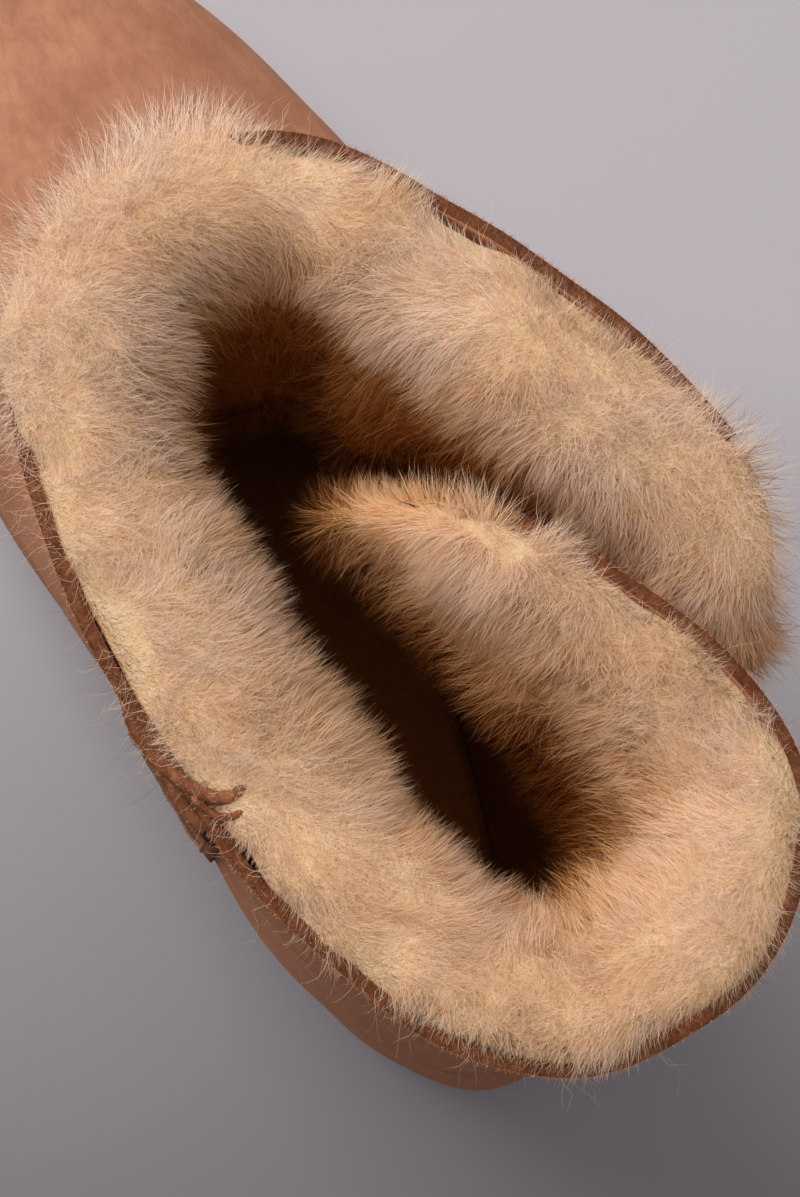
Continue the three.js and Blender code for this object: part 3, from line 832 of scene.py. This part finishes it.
def makeFleece(index):
    own = np.random.default_rng(100 + index)
    count = fleece["fibresEach"]
    at = sampleSurface(count, own)
    root, normal, angle, kind = at["root"], at["normal"], at["angle"], at["kind"]
    centre, jitter = stapleOf(root, fleece["staple"])
    way = pileField(root, normal, angle, at["ring"], kind, at["t"])
    way = unit(way + jitter[:, 1:4] * 0.22)
    length = woolLength(root, angle, kind, at["t"]) * own.uniform(0.6, 1.15, count) * (1 + 0.2 * jitter[:, 0])
    base = root - normal * fleece["buried"]
    total = (length + fleece["buried"])[:, None]
    ruffled = ((kind == 1) * overRim(angle))[:, None]
    noise = own.normal(0, 1, (count, 3)) * mix(fleece["spread"], fleece["spreadFront"], ruffled)
    knee = base + unit(way + noise * 0.6) * total * 0.52
    curl = own.normal(0, 1, (count, 3)) * mix(fleece["curl"], fleece["curlFront"], ruffled)
    tip = knee + unit(way + noise + curl) * total * 0.5
    towards = centre + way * total
    pull = fleece["pull"] * own.uniform(0.1, 1.0, (count, 1))
    tip = tip + tangent(towards - tip, way) * np.minimum(
        np.linalg.norm(towards - tip, axis=-1, keepdims=True), fleece["staple"] * 0.8) * pull
    paler = np.interp(angle, woolTones["angle"], woolTones["tone"])
    tone = 0.5 + paler + 0.17 * waves(root, 30, 31) + 0.12 * waves(root, 11, 32)
    tone = tone + 0.20 * jitter[:, 3] + own.normal(0, 0.15, count)
    tone = np.clip(tone, 0, 1)
    halfWidth = fleece["halfWidth"] * own.uniform(0.7, 1.3, count)
    lie = normal * 0.8 + way * 0.45 + own.normal(0, 0.2, (count, 3))
    lie = unit(lie + np.array([0, 0, fleece["skyward"]]))
    mesh = fibreMesh(f"fleece_{index}", bentLines(base, knee, tip, fleece["segments"]), halfWidth, tone,
                     at["open"], lie, own.normal(0, 0.45, (count, 3)))
    return finishPiece(f"fleece_{index}", mesh, wool, ["upper"])


for index in range(fleece["pieces"]):
    makeFleece(index)
print("fleece ready")


# Long fine fibres that curl away from the rest, most of them over the front of the rim.
strays = dict(
    count=3000, segments=8, halfWidth=0.028,
    lengthLow=5.0, lengthHigh=12.0, curl=2.0,
)


def makeStrays():
    own = np.random.default_rng(7)
    angle = woolSurface["angle"][:-1, :-1]
    kind = woolSurface["kind"][:-1, :-1]
    front = blend01(-40, 0, angle) * (1 - blend01(50, 80, angle))
    heel = blend01(88, 104, angle) * (1 - blend01(150, 175, angle))
    flapEnd = 1 - blend01(-100, -80, angle)
    seam = np.exp(-((angle - 86) / 5) ** 2)
    weight = np.where(kind == 1, 0.03 + front * 1.6 + heel * 0.28 + flapEnd * 0.7 + seam, 0.12)
    count = strays["count"]
    at = sampleSurface(count, own, weight)
    out = levelOut(at["ring"], at["angle"])
    outwards = np.where(at["kind"] == 1, 0.55, 0.0)[:, None]
    way = unit(at["normal"] + out * outwards + own.normal(0, 0.4, (count, 3)))
    length = own.uniform(strays["lengthLow"], strays["lengthHigh"], count)
    length = length * np.where(at["kind"] == 1, 1, 0.75)
    first = unit(np.cross(way, own.normal(size=(count, 3))))
    second = np.cross(way, first)
    t = np.linspace(0, 1, strays["segments"] + 1)[None, :, None]
    turn = own.uniform(0, 6.3, (count, 1, 1)) + t * own.uniform(4, 13, (count, 1, 1))
    size = strays["curl"] * own.uniform(0.2, 1.0, (count, 1, 1)) * t
    centre = (at["root"] - at["normal"] * 1.5)[:, None] + way[:, None] * t * length[:, None, None]
    centre = centre + first[:, None] * np.sin(turn) * size + second[:, None] * np.cos(turn) * size
    centre[..., 2] -= (t[..., 0] ** 2) * 2.0
    mesh = fibreMesh("fleece_strays", centre, np.full(count, strays["halfWidth"]),
                     np.clip(own.normal(0.75, 0.15, count), 0, 1), at["open"], at["normal"],
                     own.normal(0, 0.5, (count, 3)))
    return finishPiece("fleece_strays", mesh, wool, ["upper"])


makeStrays()
print("strays ready")


# The side strip.

sideStrip = dict(
    atSole=-38, atCollar=-63, halfWidth=10, gap=-0.1, thickness=1.5, rows=90, across=14,
    stitchFrom=0.5, stitchTo=9.85, stitches=52, stitchAt=0.74, stitchLong=2.5, stitchThick=0.36,
)


def innerAngle(ring, x):
    low, high = np.full(ring.shape, 20.0), np.full(ring.shape, 175.0)
    for _ in range(30):
        middle = (low + high) / 2
        ahead = ringPoint(ring, middle)[..., 0] > x
        low, high = np.where(ahead, middle, low), np.where(ahead, high, middle)
    return (low + high) / 2


def stripPoint(ring, side, lift):
    x = mix(sideStrip["atSole"], sideStrip["atCollar"], blend01(0, 7, ring)) + side * sideStrip["halfWidth"]
    angle = innerAngle(ring, x)
    points = leatherPoint(ring, angle)
    rounded = -0.5 * np.abs(side) ** 8
    out = leatherRelief(ring, angle, points) + sideStrip["gap"] + sideStrip["thickness"] + rounded + lift
    return points + outward(ring, angle) * out[..., None]


def makeStrip():
    rings = np.linspace(0.3, collarRing, sideStrip["rows"])
    side = np.linspace(1, -1, sideStrip["across"] + 1)
    ring, across = np.meshgrid(rings, side, indexing="ij")
    points = stripPoint(ring, across, 0)
    width = len(side)
    faces = [(j * width + i, j * width + i + 1, (j + 1) * width + i + 1, (j + 1) * width + i)
             for j in range(len(rings) - 1) for i in range(width - 1)]
    flat = place(points.reshape(-1, 3))
    piece = meshPiece("side_strip", flat, faces, stripSuede, ["side_seam_strip"])
    piece.data.materials.append(cutSuede)
    shell = piece.modifiers.new("shell", "SOLIDIFY")
    shell.thickness = sideStrip["thickness"] * mm
    shell.offset = -1
    shell.material_offset_rim = 1
    applyModifiers(piece)
    return piece


# Two rows of sewn thread, each stitch a short rounded bead that dips into the suede at its ends.
def makeStitches():
    points, faces = [], []
    around, along = 6, 5
    ring = np.linspace(sideStrip["stitchFrom"], sideStrip["stitchTo"], sideStrip["stitches"])
    for side in (-sideStrip["stitchAt"], sideStrip["stitchAt"]):
        middle = stripPoint(ring, np.full(ring.shape, side), 0.1)
        ahead = unit(np.gradient(middle, axis=0))
        out = unit(np.cross(ahead, np.cross(middle - middle.mean(0) * [1, 0, 1], ahead)))
        across = np.cross(out, ahead)
        for k in range(len(ring)):
            first = len(points)
            for j in range(along):
                t = j / (along - 1) * 2 - 1
                thick = sideStrip["stitchThick"] * math.sqrt(max(1 - t * t, 0.05))
                for i in range(around):
                    turn = i / around * 2 * math.pi
                    points.append(middle[k] + ahead[k] * t * sideStrip["stitchLong"] / 2
                                  + out[k] * thick * math.cos(turn) + across[k] * thick * math.sin(turn)
                                  - out[k] * 0.3 * t * t)
            for j in range(along - 1):
                for i in range(around):
                    a, b = first + j * around + i, first + j * around + (i + 1) % around
                    faces.append((a, b, b + around, a + around))
            faces.append(tuple(first + i for i in range(around))[::-1])
            faces.append(tuple(first + (along - 1) * around + i for i in range(around)))
    flat = place(np.array(points))
    return meshPiece("side_strip_stitches", flat, faces, thread, ["side_seam_strip"])


makeStrip()
makeStitches()
print("strip ready")


# Where the side seam meets the collar, the two layers turn into the wool. Paths are in mm, seen from above.
folds = [
    dict(name="seam_fold",
         path=((-60.5, 41.6), (-64.4, 40.2), (-67.0, 38.3), (-69.2, 36.4), (-70.0, 34.0), (-69.2, 31.6)),
         half=1.25, low=-12, high=1.6),
    dict(name="seam_fold_under",
         path=((-67.6, 39.2), (-69.8, 38.2), (-71.8, 37.0), (-72.6, 34.9), (-72.4, 32.8)),
         half=0.75, low=-11, high=0.9),
]


def makeFold(fold):
    path = np.array(fold["path"])
    t = np.linspace(0, 1, 41)
    at = np.linspace(0, 1, len(path))
    smooth = np.stack([np.interp(t, at, path[:, k]) for k in (0, 1)], -1)
    for _ in range(6):
        smooth[1:-1] = (smooth[:-2] + smooth[1:-1] * 2 + smooth[2:]) / 4
    step = np.gradient(smooth, axis=0)
    side = unit(np.stack([step[:, 1], -step[:, 0]], -1))
    turn = np.linspace(0, 2 * math.pi, 17)[:-1]
    height = (fold["high"] - fold["low"]) / 2
    taper = np.sqrt(np.clip(np.minimum(t, 1 - t) * 14, 0.02, 1))
    rows = []
    for k, angle in enumerate(turn):
        across = np.sign(math.cos(angle)) * abs(math.cos(angle)) ** 0.6 * fold["half"] * taper
        up = np.sign(math.sin(angle)) * abs(math.sin(angle)) ** 0.6 * height
        z = collarHeight + (fold["high"] + fold["low"]) / 2 + up + 0.35 * np.sin(t * 9 + 1)
        xy = smooth - frameShift[:2] + side * across[:, None]
        rows.append(np.stack([xy[:, 0], xy[:, 1], z + 0 * t], -1))
    points = np.stack(rows, 1)
    points += 0.16 * waves(points, 3.0, 91)[..., None]
    count, around = points.shape[:2]
    faces = []
    for j in range(count - 1):
        for i in range(around):
            a, b = j * around + i, j * around + (i + 1) % around
            faces.append((a, b, b + around, a + around))
    faces += [tuple(range(around))[::-1], tuple((count - 1) * around + i for i in range(around))]
    return meshPiece(fold["name"], place(points.reshape(-1, 3)), faces, foldSuede, ["upper"])


for fold in folds:
    makeFold(fold)
print("seam ready")


# The nap on the leather's cut edge.

edgeNap = dict(
    onCollar=11000, onFlap=2200, segments=2, halfWidth=0.045,
    lengthLow=0.35, lengthHigh=1.15, paleLitOuter=0.35,
)


def makeEdgeNap():
    own = np.random.default_rng(17)
    collar = np.interp(own.uniform(0, arcLength[-1], edgeNap["onCollar"]), arcLength, arcAngle)
    low, high = leatherSpan(np.array([10.0]))
    collar = mix(low[0], high[0], (collar - arcAngle[0]) / (arcAngle[-1] - arcAngle[0]))
    ring = np.concatenate([np.full(edgeNap["onCollar"], 10.0), own.uniform(6.4, 9.9, edgeNap["onFlap"])])
    angle = np.concatenate([collar, leatherSpan(ring[edgeNap["onCollar"]:])[0]])
    count = len(ring)
    onFlap = (np.arange(count) >= edgeNap["onCollar"])[:, None]
    out = levelOut(ring, angle)
    side = np.stack([-out[:, 1], out[:, 0], 0 * out[:, 0]], -1)
    inside = own.uniform(0, 1, count) ** 1.3 * leatherShape["thickness"]
    points = leatherPoint(ring, angle)
    points = points + out * (leatherRelief(ring, angle, points) - inside)[:, None]
    points[:, 2] += np.where(onFlap[:, 0], 0, leatherShape["rimWave"] * waves(points, 22, 5))
    low, high = leatherSpan(ring)
    corner = np.clip(1 - (high - angle) / 9, 0, 1) ** 2
    points[:, 2] -= 5 * corner * blend01(9, 10, ring)
    straight = np.where(onFlap, -side, np.array([0.0, 0.0, 1.0]))
    outer = (inside < edgeNap["paleLitOuter"]).astype(float)
    way = unit(straight + out * (0.9 * outer)[:, None] + own.normal(0, 0.8, (count, 3)))
    length = own.uniform(edgeNap["lengthLow"], edgeNap["lengthHigh"], count)[:, None]
    front = blend01(-30, -14, angle) * (1 - blend01(40, 58, angle))
    length = length * mix(1, 0.05, front)[:, None]
    root = points - straight * 0.1
    knee = root + way * length * 0.5
    tip = knee + unit(way + own.normal(0, 0.5, (count, 3))) * length * 0.5
    # Fibres at the outer side get a paler tone: partly the suede face's colour, partly a painted highlight.
    tone = np.clip(0.25 + 0.5 * outer + own.normal(0, 0.16, count), 0, 1)
    mesh = fibreMesh("edge_nap", bentLines(root, knee, tip, edgeNap["segments"]),
                     np.full(count, edgeNap["halfWidth"]), tone, np.ones(count), out,
                     own.normal(0, 0.8, (count, 3)))
    return finishPiece("edge_nap", mesh, fuzz, ["upper"])


makeEdgeNap()
print("nap ready")


# The sole and the insole.

def soleMaterial():
    material, n, shader = newMaterial("soleRubber")
    where = n.add("ShaderNodeTexCoord").outputs["Object"]
    patches = n.add("ShaderNodeTexNoise", {"Vector": where, "Scale": 30.0, "Detail": 5.0})
    pebbles = n.add("ShaderNodeTexVoronoi", {"Vector": where, "Scale": 1300.0})
    colour = n.ramp(patches.outputs["Fac"], (0.35, (0.085, 0.045, 0.025)), (0.65, (0.13, 0.072, 0.042)))
    n.tree.links.new(colour, shader.inputs["Base Color"])
    bump = n.add("ShaderNodeBump", {
        "Strength": 0.35, "Distance": 0.0004, "Height": pebbles.outputs["Distance"]})
    n.tree.links.new(bump.outputs[0], shader.inputs["Normal"])
    shader.inputs["Roughness"].default_value = 0.72
    return material


def dress(node, material):
    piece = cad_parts[node]
    piece = piece if isinstance(piece, bpy.types.Object) else bpy.data.objects[node]
    for holder in piece.material_slots:
        holder.material = material
    if not piece.material_slots:
        piece.data.materials.append(material)


dress("outsole", soleMaterial())
# The insole has no open attribute, so it takes the deepest painted shade.
dress("insole", woolMat)
print("sole ready")


# The floor, the lights and the camera.

studio = dict(
    floorPale=(0.43, 0.405, 0.43), floorPaintedShade=(0.08, 0.078, 0.094),
    floorTurn=23.5, paintedShadeAt=-0.23, paleAt=0.04,  # degrees, and metres across the floor
    keyPower=24.0, keySize=1.0, keyFrom=(1.1, 0.4, 1.5),
    fillPower=19.0, fillSize=1.2, fillFrom=(0.12, 0.12, 1.9),
    world=(0.65, 0.60, 0.57), worldStrength=0.32,
)


def makeFloor():
    mesh = bpy.data.meshes.new("floor")
    r = 6.0
    mesh.from_pydata([(-r, -r, 0), (r, -r, 0), (r, r, 0), (-r, r, 0)], [], [(0, 1, 2, 3)])
    floor = bpy.data.objects.new("floor", mesh)
    bpy.context.scene.collection.objects.link(floor)
    material, n, shader = newMaterial("floorWithPaintedShade")
    where = n.add("ShaderNodeTexCoord").outputs["Object"]
    across = n.add("ShaderNodeMapping", {
        "Vector": where, "Rotation": (0, 0, math.radians(studio["floorTurn"]))})
    share = n.add("ShaderNodeSeparateXYZ", {0: across.outputs[0]}).outputs["X"]
    # Painted shade: the floor's colour fades from pale to near black across it, standing in for the light's
    # falloff.
    share = n.add("ShaderNodeMapRange", {
        "Value": share, "From Min": studio["paintedShadeAt"], "From Max": studio["paleAt"]}).outputs[0]
    colour = n.ramp(share, (0.0, studio["floorPaintedShade"]), (1.0, studio["floorPale"]))
    n.tree.links.new(colour, shader.inputs["Base Color"])
    shader.inputs["Roughness"].default_value = 0.9
    mesh.materials.append(material)


def areaLight(name, power, size, source, target=(-0.03, 0.0, 0.15), colour=(1, 1, 1)):
    data = bpy.data.lights.new(name, "AREA")
    data.energy = power
    data.size = size
    data.color = colour
    light = bpy.data.objects.new(name, data)
    light.location = source
    aim = Vector(target) - Vector(source)
    light.rotation_euler = aim.to_track_quat("-Z", "Y").to_euler()
    bpy.context.scene.collection.objects.link(light)


def makeCamera():
    look = dict(position=(-0.0949, 0.0397, 0.5336), leanX=0.12565, leanY=-0.11854, roll=-113.523, lens=70)
    forward = Vector((look["leanX"], look["leanY"], -1)).normalized()
    level = Vector((math.cos(math.radians(look["roll"])), math.sin(math.radians(look["roll"])), 0))
    right = (level - forward * level.dot(forward)).normalized()
    down = forward.cross(right)
    data = bpy.data.cameras.new("camera")
    data.lens = look["lens"]
    data.sensor_width = 36
    data.clip_start = 0.01
    camera = bpy.data.objects.new("camera", data)
    camera.matrix_world = Matrix((
        (right.x, -down.x, -forward.x, look["position"][0]),
        (right.y, -down.y, -forward.y, look["position"][1]),
        (right.z, -down.z, -forward.z, look["position"][2]),
        (0, 0, 0, 1),
    ))
    bpy.context.scene.collection.objects.link(camera)
    bpy.context.scene.camera = camera


makeFloor()
areaLight("key", studio["keyPower"], studio["keySize"], studio["keyFrom"], colour=(1.0, 0.97, 0.94))
areaLight("fill", studio["fillPower"], studio["fillSize"], studio["fillFrom"])
makeCamera()
world = bpy.data.worlds.new("studio")
world.use_nodes = True
world.node_tree.nodes["Background"].inputs[0].default_value = (*studio["world"], 1)
world.node_tree.nodes["Background"].inputs[1].default_value = studio["worldStrength"]
bpy.context.scene.world = world
bpy.context.scene.view_settings.view_transform = "Standard"
print("studio ready")
